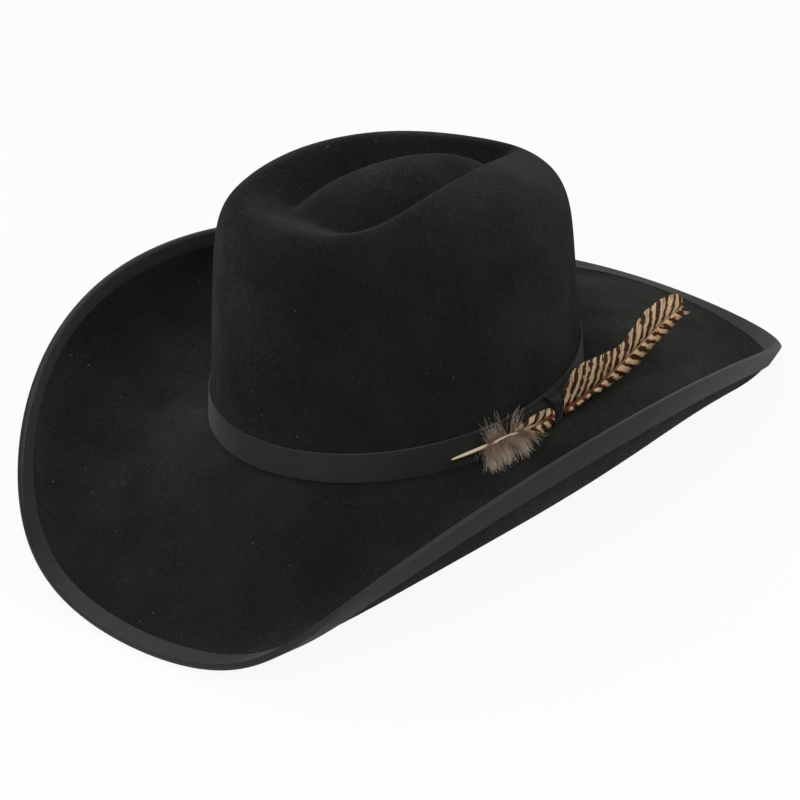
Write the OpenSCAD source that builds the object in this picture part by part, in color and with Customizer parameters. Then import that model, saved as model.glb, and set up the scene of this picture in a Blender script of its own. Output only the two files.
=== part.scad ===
// Cowboy hat: felt body with a rolled brim and a teardrop crease, bound edge,
// ribbon band with a tied bow, tucked feather, leather sweatband and satin lining.
// The front of the hat faces -Y, the wearer's left is +X, and it stands on z = 0.

/* [Head opening] */
// Length of the crown's oval at its foot, front to back
crown_l = 205; // [190:1:220]
// Width of the crown's oval at its foot
crown_w = 176.6; // [162:1:190]

/* [Felt] */
// Thickness of the felt
felt_t = 2.4; // [1.6:0.1:3.2]
// Radius of the corner where the crown meets the brim
foot_r = 2; // [1:0.5:4]

/* [Brim] */
// How far the brim edge stands out from the crown's foot at the sides
side_reach = 64.5; // [50:0.5:85]
// Same at the front and back, before the outline is squared
end_reach = 121.3; // [100:0.1:140]
// How much the outline is squared towards a rectangle
outline_square = 22; // [0:1:30]
// Height of the side edges over the front and back edges
side_rise = 81; // [40:1:100]
// Height of the crown's foot over the middle height of the brim edge
brim_drop = 11.3; // [4:0.1:20]
// Slope of the edge at the sides, where 90 stands straight up
side_curl = 112; // [60:1:125]
// Slope of the edge at the front and back, below the horizontal
end_dip = 15; // [0:1:30]
// Slope at which the brim leaves the crown, below the horizontal
leave_dip = 10; // [4:0.5:20]

/* [Crown] */
// Height of the crease's front rim over the crown's foot
crown_h = 129.5; // [105:0.5:145]
// How much lower the crease's rim is at the back
crown_fall = 38; // [10:1:45]
// Height where the side walls begin to round over
shoulder_h = 75; // [60:1:95]
// How much the side walls lean in over each 100 of height
wall_taper = 5.2; // [2:0.1:10]
// How far the crown leans back over each 100 of height
crown_lean = 12.3; // [0:0.1:16]
// How much lower the crown's foot is at the back than at the front
foot_tilt = 10; // [0:0.5:14]

/* [Crease] */
// Width of the crease between its rims
crease_w = 90; // [70:1:100]
// Length of the crease's square front part
crease_front = 42; // [35:1:55]
// Length of the crease's tapering back part
crease_back = 127; // [95:1:135]
// Width of the groove between the rim and the middle dome
groove_w = 17.5; // [12:0.5:22]
// Depth of the groove at the sides
groove_d = 20; // [8:1:26]
// Height of the dome over the groove
dome_h = 16.8; // [4:1:22]

/* [Brim binding] */
// Width of the binding ribbon on each face of the brim
bind_w = 9.5; // [5:0.5:14]
// Thickness of the binding ribbon
bind_t = 0.5; // [0.3:0.1:0.8]

/* [Hatband] */
// Width of the ribbon round the crown
band_w = 16; // [10:0.5:30]
// Thickness of the folded ribbon
band_t = 0.8; // [0.4:0.1:1.5]
// Width of the ribbon wrapped round the middle of the bow
knot_l = 7; // [5:0.5:12]
// Length of the bow's loops
loop_l = 22; // [14:1:32]
// Length of the flat end under the front of the bow
tail_l = 44; // [30:1:60]

/* [Feather] */
// Diameter of the bare quill
quill_d = 2.8; // [1.8:0.1:4]
// Length of the feather behind the bow
feather_l = 98; // [60:1:120]
// Widest part of the upper vane
upper_vane_w = 17; // [8:0.5:20]
// Widest part of the lower vane
lower_vane_w = 9; // [4:0.5:12]
// Thickness of the vanes
vane_t = 0.5; // [0.3:0.1:1]
// Half the length of the tuft of down along the quill
down_r = 8; // [5:0.5:12]

/* [Inside] */
// Height of the leather sweatband
sweat_w = 44; // [30:1:55]
// Thickness of the leather
sweat_t = 1.2; // [0.8:0.1:2]
// Diameter of the reed sewn into the sweatband's lower edge
reed_d = 1.1; // [0.8:0.1:1.5]
// Thickness of the satin lining
lining_t = 0.3; // [0.2:0.1:0.6]

/* [Hidden] */

// Each ring of the felt has this many points
around = 56;
// Rows of points on each stretch of the felt's profile
brim_rows = 7;
foot_rows = 3;
wall_rows = 4;
shoulder_rows = 6;
groove_rows = 4;
dome_rows = 4;

// Clearance between a sewn piece and what it lies on
sew_gap = 0.15;

half_l = crown_l / 2;
half_w = crown_w / 2;
function angle(i) = 360 * i / around;
function unit(v) = v / norm(v);
function mix(p, q, t) = p * (1 - t) + q * t;
// Point at t on the curve with ends p and s and handles q and r
function bend(p, q, r, s, t) =
    p * pow(1 - t, 3) + q * 3 * t * pow(1 - t, 2) + r * 3 * t * t * (1 - t) + s * pow(t, 3);

// The crown's foot at angle a, counted from the front round by the left side
foot_bow = 1.3;
function foot(a) = let (y = -cos(a))
    [half_w * sin(a), half_l * y, foot_bow * y * y - foot_tilt / 2 * y];

// Slight waves that make the outline and the roll of the brim that of a shaped hat
outline_wave = [-1.2, 5];
edge_wave = [8.4, -8.5, 8.5, -1.3];
egg = -7.8;
function edge(a) = [
    (half_w + side_reach) * sin(a) + outline_wave[0] * sin(3 * a) + outline_wave[1] * sin(5 * a),
    -(half_l + end_reach) * cos(a) - egg * cos(2 * a) + outline_square * cos(3 * a)
        - outline_square / 5 * cos(4 * a),
    -brim_drop + edge_wave[0] * cos(a) - side_rise / 2 * cos(2 * a) + edge_wave[1] * cos(3 * a)
        + edge_wave[2] * cos(4 * a) + edge_wave[3] * cos(5 * a)];

// Slope of the brim where it leaves the crown and at its edge
leave_wave = 3.2;
tip_wave = 4.4;
function leave_slope(a) = -leave_dip + leave_wave * cos(2 * a);
function tip_slope(a) = (side_curl - end_dip) / 2 + tip_wave * cos(a)
    - (side_curl + end_dip) / 2 * cos(2 * a);

// The brim's profile is one curve in the upright plane through its foot and edge
leave_pull = 0.52;
tip_pull = 0.36;
function brim(a, t) = let (
    from = foot(a),
    to = edge(a),
    out = unit([to[0] - from[0], to[1] - from[1], 0]),
    chord = norm(to - from),
    up = [0, 0, 1],
    leave = leave_pull * chord * (out * cos(leave_slope(a)) + up * sin(leave_slope(a))),
    tip = tip_pull * chord * (out * cos(tip_slope(a)) + up * sin(tip_slope(a))))
    bend(from, from + leave, to - tip, to, t);
// Place on that curve at distance d from the edge
function from_edge(a, d) = 1 - d / (3 * tip_pull * norm(edge(a) - foot(a)));

// The crown's wall at height h
function wall(a, h) = let (f = foot(a), s = 1 - wall_taper / 100 * h / 100)
    [f[0] * s, f[1] * s + crown_lean * h / 100, h + f[2] * (1 - h / 100)];
front_shoulder = 15;
back_shoulder = 2;
front_corner = 8;
rear_corner = 2;
function shoulder(a) = shoulder_h + (cos(a) > 0 ? front_shoulder : back_shoulder) * pow(cos(a), 2)
    - (cos(a) > 0 ? front_corner : rear_corner) * pow(sin(2 * a), 2);
climb_share = 0.66;
climb_swing = 0.22;

// The crease is a loop round the point crease_y, square in front and drawn out behind
crease_y = -24;
swing = 18;
corner = 0.05;
tail_narrow = 0.4;
function loop(a, w, front, back) = let (
    t = a + swing * sin(a),
    c = cos(t) > 0 ? corner : 0)
    [w / 2 * (sin(t) + c * sin(3 * t)) / (1 - c) * (1 - tail_narrow * fall(a)),
     crease_y - (cos(t) > 0 ? front : back) * (cos(t) - c * cos(3 * t)) / (1 - c)];
function fall(a) = let (t = a + swing * sin(a)) pow(min(cos(t), 0), 2);
function rim(a) = let (p = loop(a, crease_w, crease_front, crease_back))
    [p[0], p[1], crown_h - crown_fall * fall(a)];
// The groove is wide and shallow in front and fades out behind
front_reach = 1.5;
front_depth = 0.75;
back_reach = 0.8;
back_depth = 0.35;
function ahead(a) = pow(max(cos(a), 0), 2);
function groove(a) = let (
    p = loop(a, crease_w - 2 * groove_w, crease_front - groove_w * front_reach,
        crease_back - groove_w * back_reach),
    r = rim(a))
    [p[0], p[1], r[2] - groove_d * (1 - (1 - back_depth) * fall(a) - (1 - front_depth) * ahead(a))];
dome_y = 6;
dome_tilt = -0.1;
dome_top = [0, dome_y, crown_h - groove_d + dome_h];

rim_soft = 9;
front_soft = 8;
rear_soft = 20;
roll_share = 0.8;
function roll(a, reach) = min(roll_share * reach, rim_soft + front_soft * ahead(a)
    + (cos(a) < 0 ? rear_soft * pow(sin(2 * a), 2) : 0));
rim_pitch = 2.5;
groove_soft = 6;
dome_soft = 3;
dome_full = 0.7;
function shoulder_curve(a, t) = let (
    from = wall(a, shoulder(a)),
    to = rim(a),
    flat = [from[0] - to[0], from[1] - to[1], 0],
    climb = wall(a, shoulder(a) + (climb_share - climb_swing * cos(a)) * (to[2] - from[2])))
    bend(from, climb, to + roll(a, norm(flat)) * unit(flat) - [0, 0, rim_pitch * abs(sin(a))], to, t);
function groove_curve(a, t) = let (
    from = rim(a),
    to = groove(a),
    flat = [from[0] - to[0], from[1] - to[1], 0])
    bend(from, from - (rim_soft + front_soft * ahead(a)) / 2 * unit(flat),
        to + groove_soft * unit(flat), to, t);
function dome_curve(a, t) = let (
    from = groove(a),
    to = dome_top,
    in = unit([to[0] - from[0], to[1] - from[1], 0]),
    back = dome_full * norm([to[0] - from[0], to[1] - from[1]]))
    bend(from, from + dome_soft * in, to - back * (in + [0, 0, dome_tilt * in[1]]), to, t);

// Place on the brim's curve at distance d from the crown's foot
function from_foot(a, d) = d / (3 * leave_pull * norm(edge(a) - foot(a)));
// Corner between brim and wall, rounded; it spreads further over the brim
corner_spread = 2.1;
function foot_curve(a, t) = let (
    low = brim(a, from_foot(a, corner_spread * foot_r)),
    high = wall(a, foot_r),
    mid = foot(a))
    mix(mix(low, mid, t), mix(mid, high, t), t);

// One row of the felt's upper face, from the brim edge to the middle of the crown
function profile(a) = concat(
    [brim(a, 1), brim(a, from_edge(a, bind_w / 2)), brim(a, from_edge(a, bind_w))],
    [for (j = [1 : brim_rows]) brim(a, from_edge(a, bind_w) * (1 - j / (brim_rows + 0.2)))],
    [for (j = [0 : foot_rows]) foot_curve(a, j / foot_rows)],
    [for (j = [1 : wall_rows]) wall(a, foot_r + (shoulder(a) - foot_r) * j / wall_rows)],
    [for (j = [1 : shoulder_rows]) shoulder_curve(a, j / shoulder_rows)],
    [for (j = [1 : groove_rows]) groove_curve(a, j / groove_rows)],
    [for (j = [1 : dome_rows - 1]) dome_curve(a, j / dome_rows)]);

face = [for (i = [0 : around - 1]) profile(angle(i))];
rows = len(face[0]);
function at(i, j) = face[(i + around) % around][j];
// Direction out of the felt's upper face
function out_of(i, j) =
    unit(cross(at(i + 1, j) - at(i - 1, j), at(i, min(j + 1, rows - 1)) - at(i, max(j - 1, 0))));
normals = [for (i = [0 : around - 1]) [for (j = [0 : rows - 1]) out_of(i, j)]];
function normal(i, j) = normals[(i + around) % around][j];
dome_normal = unit([0, -dome_tilt, 1]);
// The same row moved out of the face by d
function offset_row(i, d) = [for (j = [0 : rows - 1]) at(i, j) + d * normal(i, j)];

// The hat stands on the lowest point of its bound edge, half way between its ends
edge_skin = felt_t + sew_gap + bind_t;
lift = -min([for (i = [0 : around - 1]) for (j = [0 : 2]) (at(i, j) - edge_skin * normal(i, j))[2]]);
mid_y = (edge(0)[1] + edge(180)[1]) / 2;
module stand() translate([0, -mid_y, lift]) children();

// Triangles that join n rings of k points: rings follow each other round the hat,
// and each ring is a closed section or, where open, a row of points. From place turn on,
// the squares are split the other way, so that inner faces lie true on what they cover
function around_faces(n, k, open = false, turn = 1000) =
    [for (i = [0 : n - 1]) for (j = [0 : k - (open ? 2 : 1)])
        let (a = i * k + j, b = i * k + (j + 1) % k, c = ((i + 1) % n) * k + j,
            d = ((i + 1) % n) * k + (j + 1) % k)
            each (j < turn ? [[a, c, b], [b, c, d]] : [[a, c, d], [a, d, b]])];
// Triangles that close such open rows at the middle of the hat, with the first and
// the last point of each row joined to one middle point each
function cap_faces(n, k) = [for (i = [0 : n - 1]) let (next = (i + 1) % n)
    each [[i * k, n * k, next * k], [i * k + k - 1, next * k + k - 1, n * k + 1]]];
// Faces of a solid swept through n sections of k points, with flat ends
function sweep_faces(n, k) = concat(
    [[for (j = [0 : k - 1]) j]],
    [for (i = [0 : n - 2]) for (j = [0 : k - 1])
        let (a = i * k + j, b = i * k + (j + 1) % k)
            each [[a, a + k, b], [b, a + k, b + k]]],
    [[for (j = [k - 1 : -1 : 0]) (n - 1) * k + j]]);
function flatten(rings) = [for (r = rings) each r];
module hoop(rings, turn = 1000)
    polyhedron(flatten(rings), around_faces(len(rings), len(rings[0]), false, turn));
module sweep(rings) polyhedron(flatten(rings), sweep_faces(len(rings), len(rings[0])));

// Point at height h on the crown's wall, moved out from it by d
function beside(a, h, d) = wall(a, h) + d * unit([sin(a) / half_w, -cos(a) / half_l, 0]);
// Section of a band that lies on the wall from height low to high and from d near to far
function band_section(a, low, high, near, far) =
    [beside(a, high, near), beside(a, high, far), beside(a, low, far), beside(a, low, near)];
module band(low, high, near, far)
    hoop([for (i = [0 : around - 1]) band_section(angle(i), low, high, near, far)], 3);

module felt_body() {
    skin = [for (i = [0 : around - 1])
        concat([for (j = [rows - 1 : -1 : 0]) at(i, j)], offset_row(i, -felt_t))];
    points = concat(flatten(skin), [dome_top, dome_top - felt_t * dome_normal]);
    color("#1c1c1a") stand()
        polyhedron(points, concat(around_faces(around, 2 * rows, true), cap_faces(around, 2 * rows)));
}

// Ribbon folded over the brim's edge
module brim_binding() {
    near = sew_gap;
    far = sew_gap + bind_t;
    function over(i, j, d) = at(i, j) + d * normal(i, j);
    function past(i) = unit(at(i, 0) - at(i, 1));
    color("#302f2c") stand() hoop([for (i = [0 : around - 1]) [
        over(i, 2, far), over(i, 1, far), over(i, 0, far),
        over(i, 0, -felt_t / 2) + far * past(i),
        over(i, 0, -felt_t - far), over(i, 1, -felt_t - far), over(i, 2, -felt_t - far),
        over(i, 2, -felt_t - near), over(i, 1, -felt_t - near),
        over(i, 0, -felt_t - near) + near * past(i),
        over(i, 0, near) + near * past(i), over(i, 1, near), over(i, 2, near)]], 7);
}

// Heights and distances of the hatband, which stands just over the crown's foot
ribbon_gap = 0.35;
band_low = 0.85 * foot_r;
band_high = band_low + band_w;
band_mid = (band_low + band_high) / 2;
band_face = ribbon_gap + band_t;
module hatband() color("#302f2c") stand() band(band_low, band_high, ribbon_gap, band_face);

// The bow sits on the left side; places along it are angles round the crown
bow_a = 99;
side_step = 180 / (PI * (half_l + half_w) / 2);
function along(mm) = bow_a + mm * side_step;
tail_t = 0.5;
tail_face = band_face + sew_gap + tail_t;
tail_steps = 12;
tail_inset = 0.2;
// Flat ribbon end that shows in front of the bow
module bow_tail() color("#2b2a27") stand()
    sweep([for (j = [0 : tail_steps]) band_section(along(tail_l * (j / tail_steps - 1) - knot_l / 2),
        band_low + tail_inset, band_high - tail_inset, band_face + sew_gap, tail_face)]);

// One loop of the bow: a ribbon that leaves the knot, turns at its far end and comes back
loop_t = 0.6;
loop_bulge = 1.4;
loop_steps = 14;
knot_narrow = 0.6;
function loop_place(u, way) = let (
    a = 180 * u,
    reach = knot_l / 2 + sew_gap + loop_l * pow(sin(a), 0.7),
    base = way < 0 ? tail_face : band_face)
    [way * reach, base + sew_gap + loop_t / 2 + loop_bulge * (0.5 + 0.5 * cos(a))];
function loop_ring(u, way) = let (
    p = loop_place(u, way),
    before = loop_place(max(u - 0.5 / loop_steps, 0), way),
    after = loop_place(min(u + 0.5 / loop_steps, 1), way),
    side = unit([after[1] - before[1], before[0] - after[0]]) * loop_t / 2 * way,
    h = band_w * (knot_narrow + (1 - knot_narrow) * sin(180 * u)) / 2)
    [for (c = [[1, -1], [1, 1], [-1, 1], [-1, -1]])
        beside(along(p[0] + c[0] * side[0]), band_mid + c[1] * h, p[1] + c[0] * side[1])];
module bow_loop(way) color("#2b2a27") stand()
    sweep([for (j = [0 : loop_steps]) loop_ring(way > 0 ? j / loop_steps : 1 - j / loop_steps, way)]);
module bow_front_loop() bow_loop(-1);
module bow_back_loop() bow_loop(1);

// The feather's shaft lies along the wall, through the knot and out over the brim
shaft_d = 6.6;
shaft_h = 7;
quill_l = 62;
quill_bow = 3;
quill_in = 2.6;
quill_settle = 32;
quill_cut = 6;
feather_rise = 13.8;
feather_out = 3;
thin_end = 0.25;
function shaft(y) = y < 0
    ? beside(along(y), shaft_h + quill_bow * sin(150 * pow(-y / quill_l, 0.85)),
        shaft_d - quill_in * pow(min(-y / quill_settle, 1), 1.5))
    : let (u = y / feather_l)
        beside(bow_a, shaft_h, shaft_d)
            + [feather_out * u, y, feather_rise * (0.5 - 0.5 * cos(180 * pow(min(u, 1), 1.3)))];
function shaft_r(y) = quill_d / 2 * (1 - (1 - thin_end) * (y + quill_l) / (quill_l + feather_l))
    * min(1, 0.5 + 0.5 * (y + quill_l) / quill_cut);
function shaft_way(y) = unit(shaft(y + 0.5) - shaft(y - 0.5));
// Directions out of the feather's face and up its upper vane
function vane_up(y) = unit(cross(cross(shaft_way(y), [0, 0, 1]), shaft_way(y)));
function vane_out(y) = cross(shaft_way(y), vane_up(y));
shaft_steps = 22;
shaft_sides = 8;
function shaft_ring(y, r) = [for (k = [0 : shaft_sides - 1]) let (a = -360 * k / shaft_sides)
    shaft(y) + r * (cos(a) * vane_out(y) + sin(a) * vane_up(y))];
module shaft_solid(more = 0) sweep([for (j = [0 : shaft_steps])
    let (y = -quill_l + (quill_l + feather_l) * j / shaft_steps) shaft_ring(y, shaft_r(y) + more)]);
module feather_shaft() color("#c9b08c") stand() shaft_solid();

// Wraps the band and the shaft; the loops and the shaft come out of it
knot_out = 9;
knot_round = 0.3;
knot_shoulder = 0.7;
knot_steps = 6;
module bow_knot() color("#262523") stand() difference() {
    sweep([for (j = [0 : knot_steps]) let (
        u = 2 * j / knot_steps - 1,
        bulge = sqrt(1 - knot_round * u * u),
        h = band_w / 2 * bulge)
        [for (c = [[tail_face + sew_gap, 1], [knot_out * bulge, knot_shoulder],
            [knot_out * bulge, -knot_shoulder], [tail_face + sew_gap, -1]])
            beside(along(u * knot_l / 2), band_mid + c[1] * h, c[0])]]);
    shaft_solid(sew_gap);
}

// A vane is a thin blade from its root on the shaft out to its edge, where barbs lean on
vane_steps = 18;
vane_gap = 0.15;
vane_rim = 0.4;
barb_lean = 0.35;
module vane(from, to, way, width) sweep([for (j = [0 : vane_steps]) let (
    y = from + (to - from) * j / vane_steps,
    root = shaft(y) + way * (shaft_r(y) + vane_gap) * vane_up(y),
    tip = root + max(width(j / vane_steps), vane_rim) * (way * vane_up(y) + barb_lean * shaft_way(y)),
    half = vane_t / 2 * vane_out(y))
    way > 0 ? [tip - half, tip + half, root + half, root - half]
        : [tip + half, tip - half, root - half, root + half]]);
vane_start = knot_l / 2 + 1.5;
vane_end = feather_l - 3;
// The upper vane has a waist between two full parts; the lower one fills out past the bow
upper_waist = 0.23;
upper_full = 0.12;
function upper_width(u) = upper_vane_w * (1 - upper_waist * (1 - cos(600 * (u - upper_full))))
    * (1 - 0.15 * u) * min(pow(8 * u + 0.3, 0.5), 1) * min(pow((1 - u) / 0.2, 0.6), 1);
lower_waist = 0.34;
lower_full = 0.5;
function lower_width(u) = lower_vane_w * (1 - lower_waist * (1 - cos(500 * min(u - lower_full, 0))))
    * (1 - 0.5 * max(u - lower_full, 0)) * min(pow((1 - u) / 0.05, 0.5), 1);
module feather_upper_vane() color("#b08a63") stand()
    vane(vane_start, vane_end, 1, function (u) upper_width(u));
module feather_lower_vane() color("#8a5f3f") stand()
    vane(vane_start, vane_end, -1, function (u) lower_width(u));
front_vane_l = 24;
front_vane_w = [6.5, 4.5];
front_start = -front_vane_l - knot_l / 2 - ribbon_gap;
module feather_front_vanes() color("#9d7450") stand() for (way = [-1, 1])
    vane(front_start, front_start + front_vane_l, way,
        function (u) front_vane_w[(way + 1) / 2] * sqrt(max(1 - pow(2 * u - 1, 2), 0)));

// Tuft of down round the quill, flat where it lies against the band
down_y = front_start - down_r - ribbon_gap;
down_out = 11;
down_up = 10;
down_below = 7.5;
down_steps = 8;
down_sides = 2 * shaft_sides;
function down_reach(a, u) = let (
    round = sqrt(1 - u * u) / norm([cos(a) / down_out, sin(a) / (sin(a) > 0 ? down_up : down_below)]),
    room = shaft(down_y)[0] - beside(along(down_y), shaft_h, tail_face)[0] - ribbon_gap)
    cos(a) < 0 ? min(round, -room / cos(a)) : round;
function down_point(a, u, outer) = let (
    y = down_y + down_r * u,
    hole = shaft_r(y) + sew_gap,
    r = outer ? max(down_reach(a, u), hole + down_rim) : hole)
    shaft(y) + r * (cos(a) * vane_out(y) + sin(a) * vane_up(y));
down_rim = 0.4;
module feather_down() color("#8f8072") stand()
    hoop([for (k = [0 : down_sides - 1]) let (a = -360 * k / down_sides) concat(
        [for (j = [0 : down_steps]) down_point(a, 2 * j / down_steps - 1, false)],
        [for (j = [down_steps : -1 : 0]) down_point(a, 2 * j / down_steps - 1, true)])]);

// Leather band inside the crown's foot, its reed and its small bow at the back
sweat_gap = 0.4;
sweat_low = -1.2;
sweat_out = -felt_t - sweat_gap;
sweat_in = sweat_out - sweat_t;
module sweatband() color("#6b4a30") stand() band(sweat_low, sweat_low + sweat_w, sweat_in, sweat_out);
reed_sides = 6;
module sweatband_reed() color("#4a3322") stand() hoop([for (i = [0 : around - 1])
    [for (k = [0 : reed_sides - 1]) let (a = 360 * k / reed_sides)
        beside(angle(i), sweat_low + reed_d / 2 * sin(a),
            sweat_out + sew_gap + reed_d / 2 * (1 - cos(a)))]]);
inner_bow_l = 11;
inner_bow_w = 3;
inner_bow_t = 1.5;
inner_bow_h = 14;
inner_knot_w = 2;
inner_knot_t = 2;
bow_steps = 5;
module sweatband_bow() color("#1f1e1c") stand() {
    h = sweat_low + inner_bow_h;
    face = sweat_in - ribbon_gap;
    for (way = [-1, 1])
        sweep([for (j = [0 : bow_steps]) let (
            s = way > 0 ? j / bow_steps : 1 - j / bow_steps,
            w = inner_bow_w / 2 * (0.5 + s))
            band_section(180 + way * (inner_knot_w / 2 + s * inner_bow_l) * side_step, h - w, h + w,
                face - inner_bow_t, face)]);
    sweep([for (way = [-1, 1]) band_section(180 + way * inner_knot_w / 2 * side_step,
        h - inner_bow_w / 2, h + inner_bow_w / 2, face - inner_knot_t, face)]);
}

// Satin lining: a side piece on the wall and an oval tip hung from its upper edge
lining_out = -felt_t - ribbon_gap;
lining_top = 6;
module lining_side() color("#2a2a2e") stand() hoop([for (i = [0 : around - 1]) let (a = angle(i))
    band_section(a, sweat_low + sweat_w + ribbon_gap, shoulder(a) - lining_top,
        lining_out - lining_t, lining_out)]);
// Shares of the way from the tip's rim to its middle, and how far it sags there
tip_spans = [0, 0.25, 0.6];
tip_sags = [0, 5, 4];
tip_drop = 12;
tip_middle = [0, crown_lean * (shoulder_h - tip_drop) / 100, shoulder_h - tip_drop];
function tip_point(a, j, down) =
    mix(beside(a, shoulder(a) - lining_top, lining_out - lining_t - sew_gap), tip_middle, tip_spans[j])
        - [0, 0, tip_sags[j] + down];
module lining_tip() {
    rings = [for (i = [0 : around - 1]) concat(
        [for (j = [0 : 2]) tip_point(angle(i), j, lining_t)],
        [for (j = [2 : -1 : 0]) tip_point(angle(i), j, 0)])];
    color("#2a2a2e") stand() polyhedron(
        concat([for (r = rings) each [for (j = [0 : 5]) r[(j + 3) % 6]]],
            [tip_middle - [0, 0, lining_t], tip_middle]),
        concat(around_faces(around, 6, true), cap_faces(around, 6)));
}

felt_body();
brim_binding();
hatband();
bow_tail();
bow_front_loop();
bow_back_loop();
bow_knot();
feather_shaft();
feather_upper_vane();
feather_lower_vane();
feather_front_vanes();
feather_down();
sweatband();
sweatband_reed();
sweatband_bow();
lining_side();
lining_tip();
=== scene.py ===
"""Dresses the western hat: fur felt, bound edge, ribbon band and bow, barred feather and inside trim."""

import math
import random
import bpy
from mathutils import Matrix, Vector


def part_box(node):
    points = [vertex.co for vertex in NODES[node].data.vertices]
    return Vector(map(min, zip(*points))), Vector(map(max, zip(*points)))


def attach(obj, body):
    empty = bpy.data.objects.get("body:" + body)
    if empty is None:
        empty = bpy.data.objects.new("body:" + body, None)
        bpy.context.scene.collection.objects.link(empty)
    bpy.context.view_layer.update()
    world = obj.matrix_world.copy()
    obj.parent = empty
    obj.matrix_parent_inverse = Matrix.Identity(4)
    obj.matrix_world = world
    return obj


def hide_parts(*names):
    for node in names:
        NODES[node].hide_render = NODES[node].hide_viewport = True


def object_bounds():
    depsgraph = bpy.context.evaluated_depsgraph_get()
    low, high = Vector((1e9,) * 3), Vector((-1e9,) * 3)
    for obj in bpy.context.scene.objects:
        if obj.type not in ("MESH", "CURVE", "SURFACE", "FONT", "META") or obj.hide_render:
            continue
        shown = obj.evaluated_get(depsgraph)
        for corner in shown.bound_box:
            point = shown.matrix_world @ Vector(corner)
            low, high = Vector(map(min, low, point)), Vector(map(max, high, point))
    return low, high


bl_info = {
    "name": "Western Felt Hat",
    "version": (1, 0, 0),
    "blender": (4, 5, 0),
    "location": "3D View > Sidebar > Hat",
    "description": "Felt, ribbons, feather and inside trim for the hat",
    "category": "Object",
}

import bmesh
import bpy
from mathutils import Quaternion, Vector
from mathutils.bvhtree import BVHTree

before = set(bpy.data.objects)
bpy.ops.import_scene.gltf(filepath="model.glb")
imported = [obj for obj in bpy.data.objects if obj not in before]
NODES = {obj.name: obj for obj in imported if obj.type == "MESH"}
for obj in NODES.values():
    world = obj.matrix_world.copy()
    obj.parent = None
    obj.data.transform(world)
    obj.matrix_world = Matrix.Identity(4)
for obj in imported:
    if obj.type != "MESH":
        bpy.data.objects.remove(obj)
CAD_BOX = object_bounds()

MM = 0.001
UP = Vector((0, 0, 1))
FACTS = ("station", "reach", "chance")  # what each barb and strand tells its material

# How far each pattern goes before it changes, in millimetres. Fur fibres, ribbon yarn, leather pores, satin
# threads and paper grain are finer than this in life, and are as coarse here as they need to be to show.
PATCH = 41.67
FIBRE = 0.3846
LINT_KINK = 1.429
WEAVE = 0.6667
WEAR = 11.11
BAR_WAVER = 3.333
BAR_MOTTLE = 1.818
HORN_STREAK = 2.381
PORE = 1.111
STAIN = 22.22
SATIN_FOLD = 28.57
SATIN_THREAD = 0.4
PAPER_GRAIN = 3.333

CORNER = math.radians(50)  # an edge sharper than this keeps its crease
FIRM = 0.9  # crease of the corners of ribbon and satin
LEATHER_FIRM = 0.8  # crease of the corners of leather
SEAM = 182.4  # degrees round the hat from the front, between two rings of points
SLIM = 0.76  # of the CAD shaft's thickness
WHITE = (1, 1, 1, 1)
FULL_TURNS = (6.3, 6.3, 6.3)  # a little over one turn about each axis, in radians
STITCHES = 185.0  # round the sweatband, about 3 mm each
STITCH_ROW = 3.4 * MM  # height of the row over the sweatband's lower edge
THREAD_HALF = 0.25 * MM  # half of the stitches' thickness
LINING_GATHERS = 180.0  # round the lining's side
SAME_WAY = 0.08  # radians round the hat within which points share one lower edge
STRAND_ROOM = 1.1 * MM  # from the felt to the middle of a barb or a strand
KNOT_CLOTH = 0.4 * MM
BARB_THICKNESS = 0.09 * MM
DOWN_THICKNESS = 0.06 * MM
DOWN_HALF = 0.1 * MM  # half the width of a strand at its root

PAPER_HALF = 6.0  # metres from the middle of the floor to its edge
PAPER_GAP = 0.2 * MM  # under the hat, so that no two faces meet
ROOM_LIGHT = 0.05  # strength of the room round the lamps
LAMPS_AIM = Vector((0, 0, 80)) * MM
LAMPS = {  # place and width in metres, and watts
    "key": ((1.1, -1.2, 1.6), 1.2, 20),
    "top": ((-0.6, 0.05, 1.6), 1.3, 10),
    "front": ((0.4, -1.9, 0.8), 1.4, 3),
    "side": ((1.7, -0.9, 0.3), 1.1, 5.5),
    "back": ((1.6, 0.5, 1.2), 1.1, 6.5),
    "rim": ((-1.3, 1.2, 0.7), 1.0, 3),
}
CAMERA_AIM = Vector((0, -3.4, 48.48)) * MM  # the middle of the crown's foot
CAMERA_SHIFT = (0.0036625, -0.0145875)  # in widths of the picture
SENSOR_WIDTH = 36  # millimetres


# ---------------------------------------------------------------- sizes and colours


def linear(hexed):
    """An sRGB hex value as linear red, green, blue and alpha."""
    parts = [int(hexed[i:i + 2], 16) / 255 for i in (0, 2, 4)]
    return tuple(c / 12.92 if c <= 0.04045 else ((c + 0.055) / 1.055) ** 2.4 for c in parts) + (1.0,)


def times(shade, factor):
    """A linear colour made so many times as bright, at most white."""
    return tuple(min(1, c * factor) for c in shade[:3]) + (1,)


def colour(name, text, hexed):
    """A colour property whose default is an sRGB hex value."""
    return bpy.props.FloatVectorProperty(
        name=name, description=text, subtype="COLOR", size=4, min=0, max=1, default=linear(hexed)
    )


def size(name, text, millimetres, low=0.0, high=100.0):
    """A length property, given in millimetres."""
    return bpy.props.FloatProperty(
        name=name, description=text, unit="LENGTH", subtype="DISTANCE", precision=5,
        min=low * MM, max=high * MM, default=millimetres * MM,
    )


def angle(name, text, degrees):
    """An angle property, given in degrees."""
    return bpy.props.FloatProperty(
        name=name, description=text, unit="ROTATION", subtype="ANGLE", default=math.radians(degrees)
    )


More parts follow.
